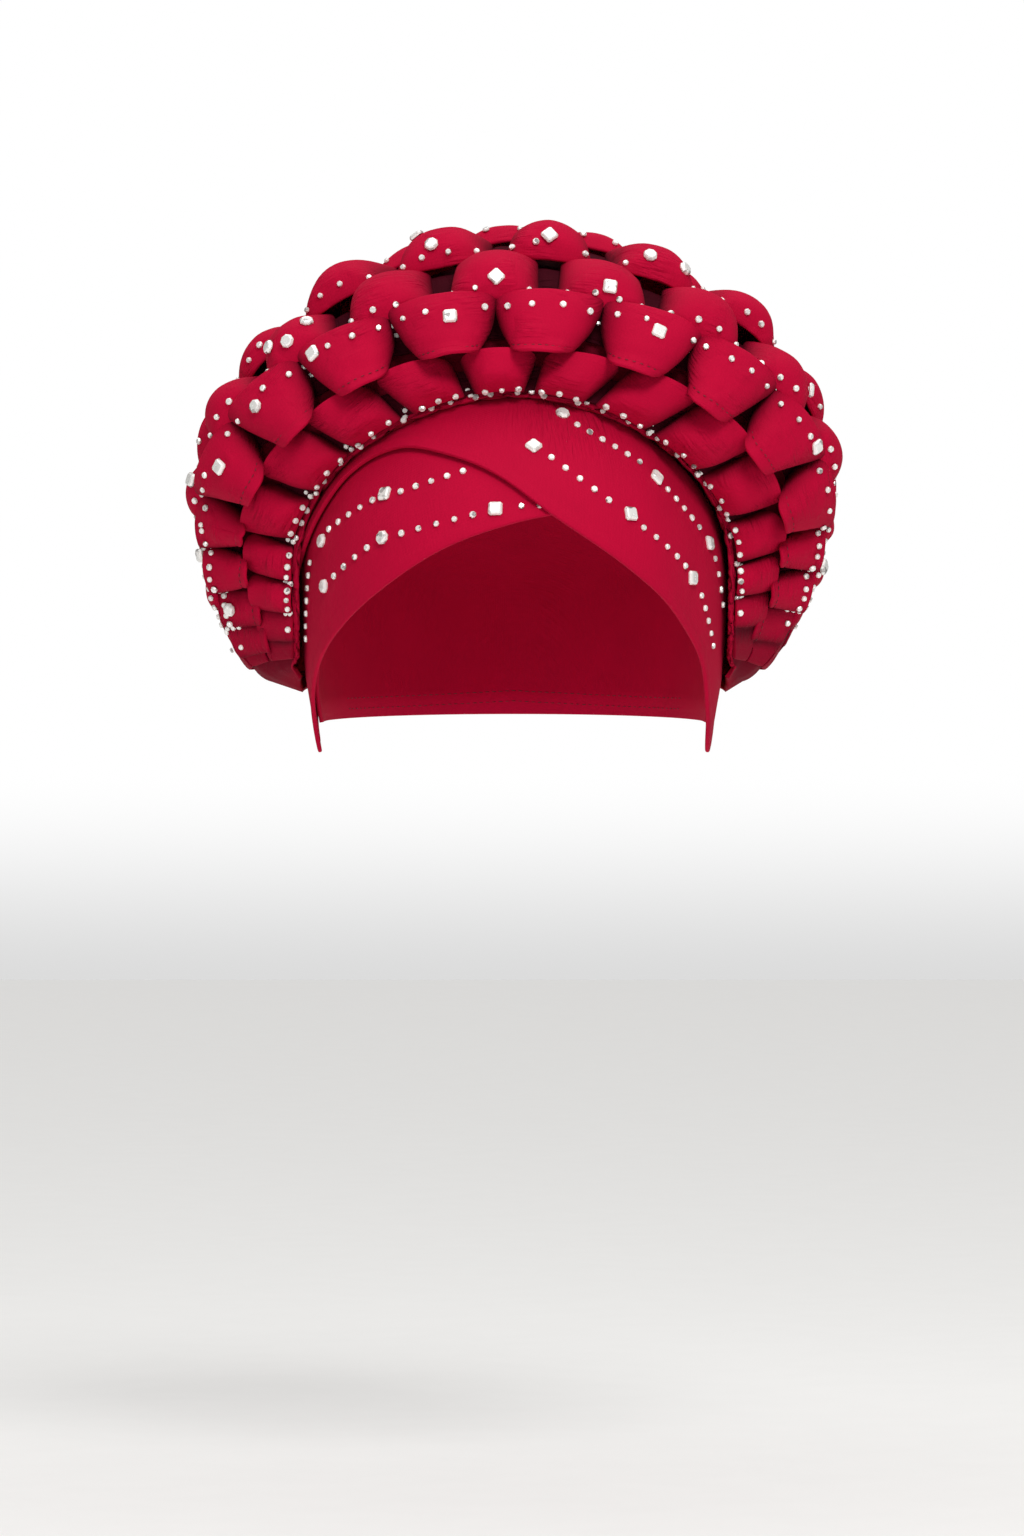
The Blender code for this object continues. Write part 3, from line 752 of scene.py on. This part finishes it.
def add_stitch(mesh_data, point, forward, outward, length, width):
    """One stitch: a grain of thread that lies along forward."""
    across = outward.cross(forward)
    shape = Matrix((forward * length / 2, across * width / 2, outward * width / 2))
    bmesh.ops.create_icosphere(mesh_data, subdivisions=1, radius=1,
                               matrix=Matrix.Translation(point) @ shape.transposed().to_4x4())


def sew_cap_hem(form, finish):
    """Two rows of cover stitch round the cap's edge, seen inside below the crown."""
    mesh_data = bmesh.new()
    for height in CAP_STITCH_ROWS:
        for azimuth in range(120, 241, 2):
            dip = CAP_SIDE_DIP * abs(math.sin(math.radians(azimuth)))
            edge = -CAP_DROPS[2] - dip + height
            point = head_point(form, azimuth, edge, 0)
            forward = (head_point(form, azimuth + 1, edge, 0) - point).normalized()
            outward = Vector((point.x, point.y, 0)).normalized()
            add_stitch(mesh_data, point, forward, outward, 2.2 * MM, 0.4 * MM)
    material = kept_material(sewing_thread, "matching_thread", finish)
    solid_object("cap_hem_stitches", mesh_data, material)


class MakeCap(bpy.types.Operator):
    """Fitted cap, drawn over the head and open below"""

    bl_idname = "turban.make_cap"
    bl_label = "Fitted Cap"

    def execute(self, context):
        form, _, _, finish = settings()
        offset = form.cap_wall / 2
        front, side, back = CAP_DROPS
        mesh_data = bmesh.new()
        bmesh.ops.create_uvsphere(mesh_data, u_segments=96, v_segments=60, radius=1)
        lower = [vert for vert in mesh_data.verts if vert.co.z < -0.01]
        bmesh.ops.delete(mesh_data, geom=lower, context="VERTS")
        painted_light_share = mesh_data.verts.layers.float.new("painted_light_share")
        uvs = mesh_data.loops.layers.uv.new("cloth")
        flat_place = {}
        for vert in mesh_data.verts:
            share = math.acos(max(-1.0, min(1.0, vert.co.z))) / (math.pi / 2)
            azimuth = math.degrees(math.atan2(vert.co.x, -vert.co.y))
            level = math.cos(math.radians(azimuth))
            edge = form.widest_drop - blend(side, front if level > 0 else back, abs(level))
            reach = (form.widest_drop if edge > 0 else form.lower_reach) + offset
            polar = share * math.acos(edge / reach)
            reach = (form.widest_drop if polar < math.pi / 2 else form.lower_reach) + offset
            flat_place[vert] = Vector((vert.co.x, vert.co.y)) * (0.5 + share) * 0.1
            if share < 0.01:
                vert.co = Vector((0, 0, offset))
            else:
                vert.co = head_point(form, azimuth,
                                     reach * math.cos(polar) - form.widest_drop, offset)
            # Painted shade: a slight, even darkening of the whole cap.
            vert[painted_light_share] = 0.8
        for face in mesh_data.faces:
            for loop in face.loops:
                loop[uvs].uv = flat_place[loop.vert]
        bmesh.ops.recalc_face_normals(mesh_data, faces=mesh_data.faces)
        area = sum(face.calc_area() for face in mesh_data.faces)
        made = new_object("cap_cloth", mesh_data,
                          kept_material(scuba_knit, "cap_scuba_knit", finish, 0.7, 0.3 * MM))
        add_wall(made, form.cap_wall)
        sew_cap_hem(form, finish)
        declare_cloth(["fitted_cap"])
        return {"FINISHED"}


def make_band(name, table, offset_at, columns, rows, node):
    """One band of the wrap. Its lower edge is a folded hem, and its cloth lies unevenly."""
    form, _, _, finish = settings()

    def place(column, row):
        low_azimuth, low_drop, high_azimuth, high_drop = smooth_row(table, column / columns)
        across = row / rows
        azimuth = blend(low_azimuth, high_azimuth, across)
        drop = blend(low_drop, high_drop, across)
        width = abs(high_drop - low_drop) * form.wrap_drop
        hem = 0.45 * MM * (1 - ease((across * width - 3 * MM) / (2 * MM)))
        drag = 0.35 * MM * noise.noise(Vector((azimuth * 0.05, drop * 9, 3.0)))
        # Painted shade: the 0.9 darkens the band a trace, evenly.
        return head_point(form, azimuth, -drop * form.wrap_drop,
                          offset_at(azimuth) + hem + drag), 0.9

    turn, fall = WRAP_CREASES
    creased_at = head_point(form, turn, -fall * form.wrap_drop, over_offset(form, turn))
    material = kept_material(scuba_knit, "wrap_scuba_knit", finish, 0.6, 2.0 * MM, creased_at)
    made, flat, area = cloth_from_grid(name, columns, rows, place, form.band_wall, material, 1)
    declare_cloth([node])


class MakeWrap(bpy.types.Operator):
    """Crossed forehead wrap: the under band and the over band"""

    bl_idname = "turban.make_wrap"
    bl_label = "Crossed Wrap"

    def execute(self, context):
        form = settings()[0]
        make_band("under_band_cloth", UNDER_BAND, lambda azimuth: under_offset(form), 110, 48,
                  "under_band")
        make_band("over_band_cloth", OVER_BAND, lambda azimuth: over_offset(form, azimuth),
                  150, 60, "over_band")
        return {"FINISHED"}


class MakeFoundation(bpy.types.Operator):
    """Puffed foundation of the crown, with the plain back gathered to the nape"""

    bl_idname = "turban.make_foundation"
    bl_label = "Crown Foundation"

    def execute(self, context):
        form, _, _, finish = settings()
        columns, back_rows = 180, 36
        rings = len(RINGS)
        face = [*STRIP_RINGS, *(1 + step / 5 for step in range(5 * (rings - 1)))]
        face_rows = len(face)
        seat = form.cap_wall + form.layer_gap + form.band_wall + form.layer_gap + form.band_wall

        def place(column, row):
            ring = face[row] if row < face_rows else rings + (row - face_rows) / back_rows
            if column in (0, columns):
                point = crown_point(form, RING_END if column else -RING_END, ring)
                azimuth = math.degrees(math.atan2(point.x / form.head_width,
                                                  -point.y / form.head_length))
                # Painted shade: the tucked ends are drawn at half shade.
                return head_point(form, azimuth, point.z - FOUNDATION_TUCK, seat), 0.5
            angle = RING_END * (2 * (column - 1) / (columns - 2) - 1)
            edge = 1 - abs(angle) / RING_END
            fall = FOUNDATION_SINK
            point = crown_point(form, angle, ring)
            normal = crown_normal(form, angle, ring)
            # Painted shade: the foundation is seen only deep between the pleats, so it is drawn
            # mostly in the fold crimson.
            painted_light_share = 0.12
            if ring < STRIP_END:
                roll = abs(math.sin(math.pi * (ring / 0.03 + 0.35 * math.sin(angle * 0.21))))
                ruche = noise.noise(Vector((angle * 0.55, ring * 30, 2.0)))
                point += normal * ((1.1 * roll + 0.6 * ruche) * MM * ease(4 * edge))
                # Painted shade: darker in the hollows of the ruche, lighter on its rolls.
                painted_light_share = 0.30 + 0.45 * roll
            if ring >= rings:
                share = ring - rings
                fall *= min(1.0, 4 * (1 - share))
                gather = math.sin(math.radians(angle) * 13 + 2.2 * math.sin(angle * 0.11))
                depth = (0.5 + 2.2 * share ** 3 * (1 - share) * 4) * MM
                point += normal * depth * gather * min(1, 6 * share) * min(1, 10 * (1 - share))
                # Painted shade: darker in the hollows of the back's gathers.
                painted_light_share = 0.85 + 0.12 * gather * share
            return point - normal * fall * min(1, 8 * edge), painted_light_share

        material = kept_material(scuba_knit, "crown_scuba_knit", finish, 0.25, 0.8 * MM)
        made, flat, area = cloth_from_grid("crown_foundation", columns, face_rows + back_rows,
                                           place, form.band_wall, material, 0)
        declare_cloth(["crown_base"])
        return {"FINISHED"}


def make_pleat_row(row):
    """One row of tubular pleats, a single strip with its hems."""
    form, pleats, _, finish = settings()
    numbers = pleat_centres(pleats, row)
    over, floor = 18, 3
    per_pleat = over + floor
    flaps = len(ROW_FLAPS)
    columns = per_pleat * (len(numbers) - 1) + over + 2 * flaps

    def flap(side, number, along):
        ring = row + blend(max(PLEAT_ROWS[row][0], 0.05), 0.95, along)
        # Painted shade: the plain end flaps are drawn at half shade.
        return crown_point(form, side * ROW_FLAPS[number], ring), 0.5

    def place(column, level):
        along = ROW_RINGS[level]
        if column < flaps:
            return flap(-1, flaps - 1 - column, along)
        if column > columns - flaps:
            return flap(1, column - (columns - flaps) - 1, along)
        index, part = divmod(column - flaps, per_pleat)
        point, rise, normal = pleat_point(form, pleats, row, numbers[index],
                                          min(2 * part / over - 1, 1), along)
        if part > over:
            right = pleat_point(form, pleats, row, numbers[index + 1], -1, along)[0]
            point = point.lerp(right, (part - over) / (floor + 1))
        fade = pleat_fade(numbers[index] * pleats.step + pleats.phase)
        swell = noise.noise(point * 45 + Vector((row * 3.0, 0, 5.0)))
        wrinkle = noise.noise(point * 130 + Vector((row * 7.0, 0, 0)))
        crease = noise.noise(Vector((point.x * 420, point.z * 420, along * 1.5 + row)))
        height = 0.9 * swell + 0.45 * wrinkle + 0.25 * crease
        if (row, level) == (STITCHED_ROW, STITCHED_RING):
            height -= STITCH_DIP
        # Painted shade: the share of lit crimson follows how high the point stands on its pleat,
        # darkest on the valley floors, and evens out where the pleats melt into plain cloth.
        return point + normal * (MM * height), blend(rise, 0.45, 0.6 * fade)

    material = kept_material(scuba_knit, "pleat_scuba_knit", finish, 0.0, 1.6 * MM)
    made, flat, area = cloth_from_grid("pleats_%d" % (row + 1), columns, len(ROW_RINGS) - 1,
                                       place, pleats.wall, material, 1)
    declare_cloth(["pleat_row_%d" % (row + 1)])


class MakePleats(bpy.types.Operator):
    """Five rows of tubular pleats, laid like bricks"""

    bl_idname = "turban.make_pleats"
    bl_label = "Pleats"

    def execute(self, context):
        for row in range(len(PLEAT_ROWS)):
            make_pleat_row(row)
        return {"FINISHED"}


def stone_rim(shape, index):
    """Direction and reach of a crystal's corner: even when round, paired when square."""
    if shape in ("round", "octagon"):
        return math.radians(45 * (index + 0.5)), 1.0
    cut = SQUARE_CHAMFER if index % 2 else -SQUARE_CHAMFER
    corner = 90 * (index // 2) + 45 + cut
    return math.radians(corner + (45 if shape == "diamond" else 0)), SQUARE_REACH


def add_crystal(mesh_data, shape, width, rise, point, normal, up):
    """A flat-backed cut crystal: foiled back, girdle, two tiers of facets and a table."""
    made = bmesh.ops.create_circle(mesh_data, cap_ends=True, segments=8, radius=1)
    rims = [list(made["verts"])]
    face = rims[0][0].link_faces[0]
    for _ in CRYSTAL_TIERS[1:]:
        made = bmesh.ops.extrude_face_region(mesh_data, geom=[face], use_keep_orig=len(rims) == 1)
        rims.append([item for item in made["geom"] if isinstance(item, bmesh.types.BMVert)])
        face = [item for item in made["geom"] if isinstance(item, bmesh.types.BMFace)][0]
    side = up.cross(normal).normalized()
    upright = normal.cross(side)
    for rim, (level, share) in zip(rims, CRYSTAL_TIERS):
        rim.sort(key=lambda vert: math.atan2(vert.co.y, vert.co.x) % (2 * math.pi))
        for index, vert in enumerate(rim):
            turn, reach = stone_rim(shape, index)
            radius = width / 2 * reach * share
            flat = side * (radius * math.cos(turn)) + upright * (radius * math.sin(turn))
            vert.co = point + flat + normal * (rise * level)


def seat_on_wrap(form, band, azimuth, drop):
    offset = over_offset(form, azimuth) if band == "over" else under_offset(form)
    offset += form.band_wall / 2
    point = head_point(form, azimuth, -drop * form.wrap_drop, offset)
    beside = head_point(form, azimuth + 1, -drop * form.wrap_drop, offset) - point
    above = head_point(form, azimuth, -drop * form.wrap_drop + MM, offset) - point
    return point, beside.cross(above).normalized(), above


def seat_on_strip(form, angle, ring):
    """Where a crystal sits on the ruched strip between the wrap and the first pleats."""
    point = crown_point(form, angle, ring)
    return point, crown_normal(form, angle, ring), crown_point(form, angle, ring + 0.1) - point


def seat_in_valley(form, pleats, row, pleat, along):
    point = valley_point(form, pleats, row, pleat, along)
    up = valley_point(form, pleats, row, pleat, along + 0.03) - point
    centre = (pleat + 0.5) * pleats.step + pleats.phase
    normal = crown_normal(form, centre, row + along)
    return point + normal * pleats.wall / 2, normal, up


def seat_on_pleat(form, pleats, row, pleat, across, along):
    turn = math.asin(max(-1, min(1, across))) / math.radians(pleats.belly)
    point = pleat_point(form, pleats, row, pleat, turn, along)[0]
    beside = pleat_point(form, pleats, row, pleat, turn + 0.03, along)[0] - point
    above = pleat_point(form, pleats, row, pleat, turn, along + 0.03)[0] - point
    normal = beside.cross(above).normalized()
    return point + normal * pleats.wall / 2, normal, above


def crystal_object(name, mesh_data, finish, nodes=()):
    material = kept_material(foiled_crystal, "foiled_crystal", finish)
    solid_object(name, mesh_data, material, nodes).data.shade_flat()


class MakeCrystals(bpy.types.Operator):
    """Main crystals, and the lines of small ones"""

    bl_idname = "turban.make_crystals"
    bl_label = "Crystals"

    def execute(self, context):
        form, pleats, stones, finish = settings()
        self.large("wrap", stones, finish, [(seat_on_wrap(form, *place), shape)
                                            for *place, shape in WRAP_STONES])
        self.large("crown", stones, finish, [(seat_on_pleat(form, pleats, *place), shape)
                                             for *place, shape in CROWN_STONES])
        self.small_on_wrap(form, stones, finish)
        self.small_on_crown(form, pleats, stones, finish)
        return {"FINISHED"}

    def large(self, part, stones, finish, seats):
        mesh_data = bmesh.new()
        for (point, normal, up), shape in seats:
            add_crystal(mesh_data, shape, stones.large, stones.rise, point, normal, up)
        nodes = [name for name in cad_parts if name.startswith(part + "_stone")]
        crystal_object(part + "_crystals", mesh_data, finish, nodes)

    def small_on_wrap(self, form, stones, finish):
        dice = random.Random(5)
        mesh_data = bmesh.new()
        for band, azimuth, drop, last_azimuth, last_drop, count in WRAP_LINES:
            for index in range(count):
                share = index / max(1, count - 1)
                point, normal, up = seat_on_wrap(form, band, blend(azimuth, last_azimuth, share),
                                                 blend(drop, last_drop, share))
                up.rotate(Matrix.Rotation(dice.uniform(-0.4, 0.4), 3, normal))
                width = stones.small * dice.uniform(0.88, 1.08)
                add_crystal(mesh_data, "round", width, stones.rise * SMALL_RISE, point, normal,
                            up)
        crystal_object("wrap_small_crystals", mesh_data, finish)

    def small_on_crown(self, form, pleats, stones, finish):
        dice = random.Random(9)
        mesh_data = bmesh.new()
        seats = []
        for row, along, count, widest in CROWN_LINES:
            for pleat in pleat_centres(pleats, row):
                for index in range(count):
                    share = 2 * index / (count - 1) - 1
                    across = widest * share + dice.uniform(-0.05, 0.05)
                    level = along + dice.uniform(-0.015, 0.015)
                    taken = any(row == r and abs(pleat - p) < 0.1 and abs(across - a) < 0.24
                                and abs(level - l) < 0.3 for r, p, a, l, _ in CROWN_STONES)
                    if taken or (abs(pleat) > LINED_PLEATS and index != 1):
                        continue
                    seats.append(seat_on_pleat(form, pleats, row, pleat, across, level))
        for pleat in pleat_centres(pleats, 0)[:-1]:
            angle = (pleat + 0.5) * pleats.step + pleats.phase
            seats.append(seat_on_strip(form, angle + dice.uniform(-1, 1), 0.10))
            seats.append(seat_on_strip(form, angle + dice.uniform(-2, 2), 0.20))
        for pleat in pleat_centres(pleats, 1)[:-1]:
            for along in (0.66, 0.80, 0.94):
                if dice.random() < 0.8:
                    seats.append(seat_in_valley(form, pleats, 1, pleat, along))
        run = 0.0
        for angle in range(-LINED_ANGLE, LINED_ANGLE + 1):
            run += (crown_point(form, angle + 1, 0) - crown_point(form, angle, 0)).length
            if run > stones.line_spacing:
                run = dice.uniform(-1.0, 0.55) * stones.line_spacing
                seats.append(seat_on_strip(form, angle, 0.045 + dice.uniform(-0.014, 0.016)))
        for point, normal, up in seats:
            width = stones.small * dice.uniform(0.82, 1.1)
            add_crystal(mesh_data, "round", width, stones.rise * SMALL_RISE, point, normal, up)
        crystal_object("crown_small_crystals", mesh_data, finish)


class MakeStitching(bpy.types.Operator):
    """Lockstitched face hem of the second row of pleats"""

    bl_idname = "turban.make_stitching"
    bl_label = "Hem Stitching"

    def execute(self, context):
        form, pleats, _, finish = settings()
        length, width, spacing = 1.7 * MM, 0.34 * MM, 2.3 * MM
        mesh_data = bmesh.new()
        for pleat in pleat_centres(pleats, STITCHED_ROW):
            arc = [pleat_point(form, pleats, STITCHED_ROW, pleat, turn / 40,
                               HEM_RINGS[STITCHED_RING]) for turn in range(-34, 35)]
            run = 0.0
            for (first, _, normal), (second, _, _) in zip(arc, arc[1:]):
                run += (second - first).length
                if run < spacing:
                    continue
                run = 0.0
                forward = (second - first).normalized()
                outward = (normal - forward * normal.dot(forward)).normalized()
                add_stitch(mesh_data, first + outward * pleats.wall * 0.45, forward, outward,
                           length, width)
        material = kept_material(sewing_thread, "matching_thread", finish)
        solid_object("hem_stitches", mesh_data, material)
        return {"FINISHED"}


class MakeStage(bpy.types.Operator):
    """Pale floor, soft studio light and the camera at the photograph's angle"""

    bl_idname = "turban.make_stage"
    bl_label = "Stage"

    def execute(self, context):
        mesh_data = bmesh.new()
        bmesh.ops.create_grid(mesh_data, x_segments=1, y_segments=1, size=6)
        bmesh.ops.translate(mesh_data, verts=mesh_data.verts, vec=(0, 0, FLOOR_LEVEL))
        mesh = bpy.data.meshes.new("floor")
        mesh_data.to_mesh(mesh)
        mesh_data.free()
        mesh.materials.append(seamless_paper())
        floor = bpy.data.objects.new("floor", mesh)
        context.scene.collection.objects.link(floor)
        self.add_world(context)
        for name, (place, power) in LAMPS.items():
            self.add_light(context, name, place, power)
        self.add_ceiling(context)
        self.add_camera(context)
        context.scene.view_settings.view_transform = "Standard"
        return {"FINISHED"}

    def add_world(self, context):
        """White room that fades to the floor's tone at the horizon, and is a dim light, so that
        the folds stay deep."""
        world = bpy.data.worlds.new("white_room")
        world.use_nodes = True
        background = world.node_tree.nodes["Background"]
        background.inputs["Color"].default_value = (1, 1, 1, 1)
        direction = add_node(world.node_tree, "ShaderNodeTexCoord")
        height = add_node(world.node_tree, "ShaderNodeSeparateXYZ", None,
                          {"Vector": direction.outputs["Generated"]})
        fade = add_node(world.node_tree, "ShaderNodeMapRange",
                        {"interpolation_type": "SMOOTHSTEP", "From Min": -0.035,
                         "From Max": 0.0, "To Min": HORIZON_TONE},
                        {"Value": height.outputs["Z"]})
        ray = add_node(world.node_tree, "ShaderNodeLightPath")
        strength = add_node(world.node_tree, "ShaderNodeMapRange", {"To Min": 0.12},
                            {"Value": ray.outputs["Is Camera Ray"],
                             "To Max": fade.outputs["Result"]})
        world.node_tree.links.new(strength.outputs["Result"], background.inputs["Strength"])
        context.scene.world = world

    def add_light(self, context, name, place, power):
        light = bpy.data.lights.new(name, "AREA")
        light.size = LAMP_SIZE
        light.energy = power
        lamp = bpy.data.objects.new(name, light)
        context.scene.collection.objects.link(lamp)
        lamp.location = place
        aim = Vector(LAMP_AIM) - Vector(place)
        lamp.rotation_euler = aim.to_track_quat("-Z", "Y").to_euler()

    def add_ceiling(self, context):
        """Wide even light from above, the same over the whole floor."""
        light = bpy.data.lights.new("ceiling", "SUN")
        light.angle = math.radians(90)
        light.energy = 2.3
        context.scene.collection.objects.link(bpy.data.objects.new("ceiling", light))

    def add_camera(self, context):
        camera = bpy.data.cameras.new("camera")
        camera.sensor_width = 36
        camera.lens = camera.sensor_width * CAMERA_DISTANCE / (PHOTO_HEIGHT * PIXEL)
        holder = bpy.data.objects.new("camera", camera)
        context.scene.collection.objects.link(holder)
        holder.location = (-0.7 * MM, -CAMERA_DISTANCE - 20 * MM, -145 * MM)
        holder.rotation_euler = (math.pi / 2, 0, 0)
        context.scene.camera = holder


class TurbanPanel(bpy.types.Panel):
    """Lists the turban's pieces"""

    bl_idname = "VIEW3D_PT_turban"
    bl_label = "Pleated Turban"
    bl_space_type = "VIEW_3D"
    bl_region_type = "UI"
    bl_category = "Turban"

    def draw(self, context):
        layout = self.layout
        for group in (context.scene.turban_form, context.scene.turban_pleats,
                      context.scene.turban_stones, context.scene.turban_finish):
            for name in group.__annotations__:
                layout.prop(group, name)
        for operator in OPERATORS:
            layout.operator(operator.bl_idname)


GROUPS = (TurbanForm, TurbanPleats, TurbanStones, TurbanColoursAndPaintedShade)
OPERATORS = (MakeCap, MakeWrap, MakeFoundation, MakePleats, MakeStitching, MakeCrystals,
             MakeStage)


def register():
    for item in (*GROUPS, *OPERATORS, TurbanPanel):
        bpy.utils.register_class(item)
    bpy.types.Scene.turban_form = bpy.props.PointerProperty(type=TurbanForm)
    bpy.types.Scene.turban_pleats = bpy.props.PointerProperty(type=TurbanPleats)
    bpy.types.Scene.turban_stones = bpy.props.PointerProperty(type=TurbanStones)
    bpy.types.Scene.turban_finish = bpy.props.PointerProperty(type=TurbanColoursAndPaintedShade)


def unregister():
    del bpy.types.Scene.turban_finish
    del bpy.types.Scene.turban_stones
    del bpy.types.Scene.turban_pleats
    del bpy.types.Scene.turban_form
    for item in reversed((*GROUPS, *OPERATORS, TurbanPanel)):
        bpy.utils.unregister_class(item)


def main():
    register()
    bpy.ops.turban.make_stage()
    bpy.ops.turban.make_cap()
    bpy.ops.turban.make_wrap()
    bpy.ops.turban.make_foundation()
    bpy.ops.turban.make_pleats()
    bpy.ops.turban.make_stitching()
    bpy.ops.turban.make_crystals()


if __name__ == "__main__":
    main()
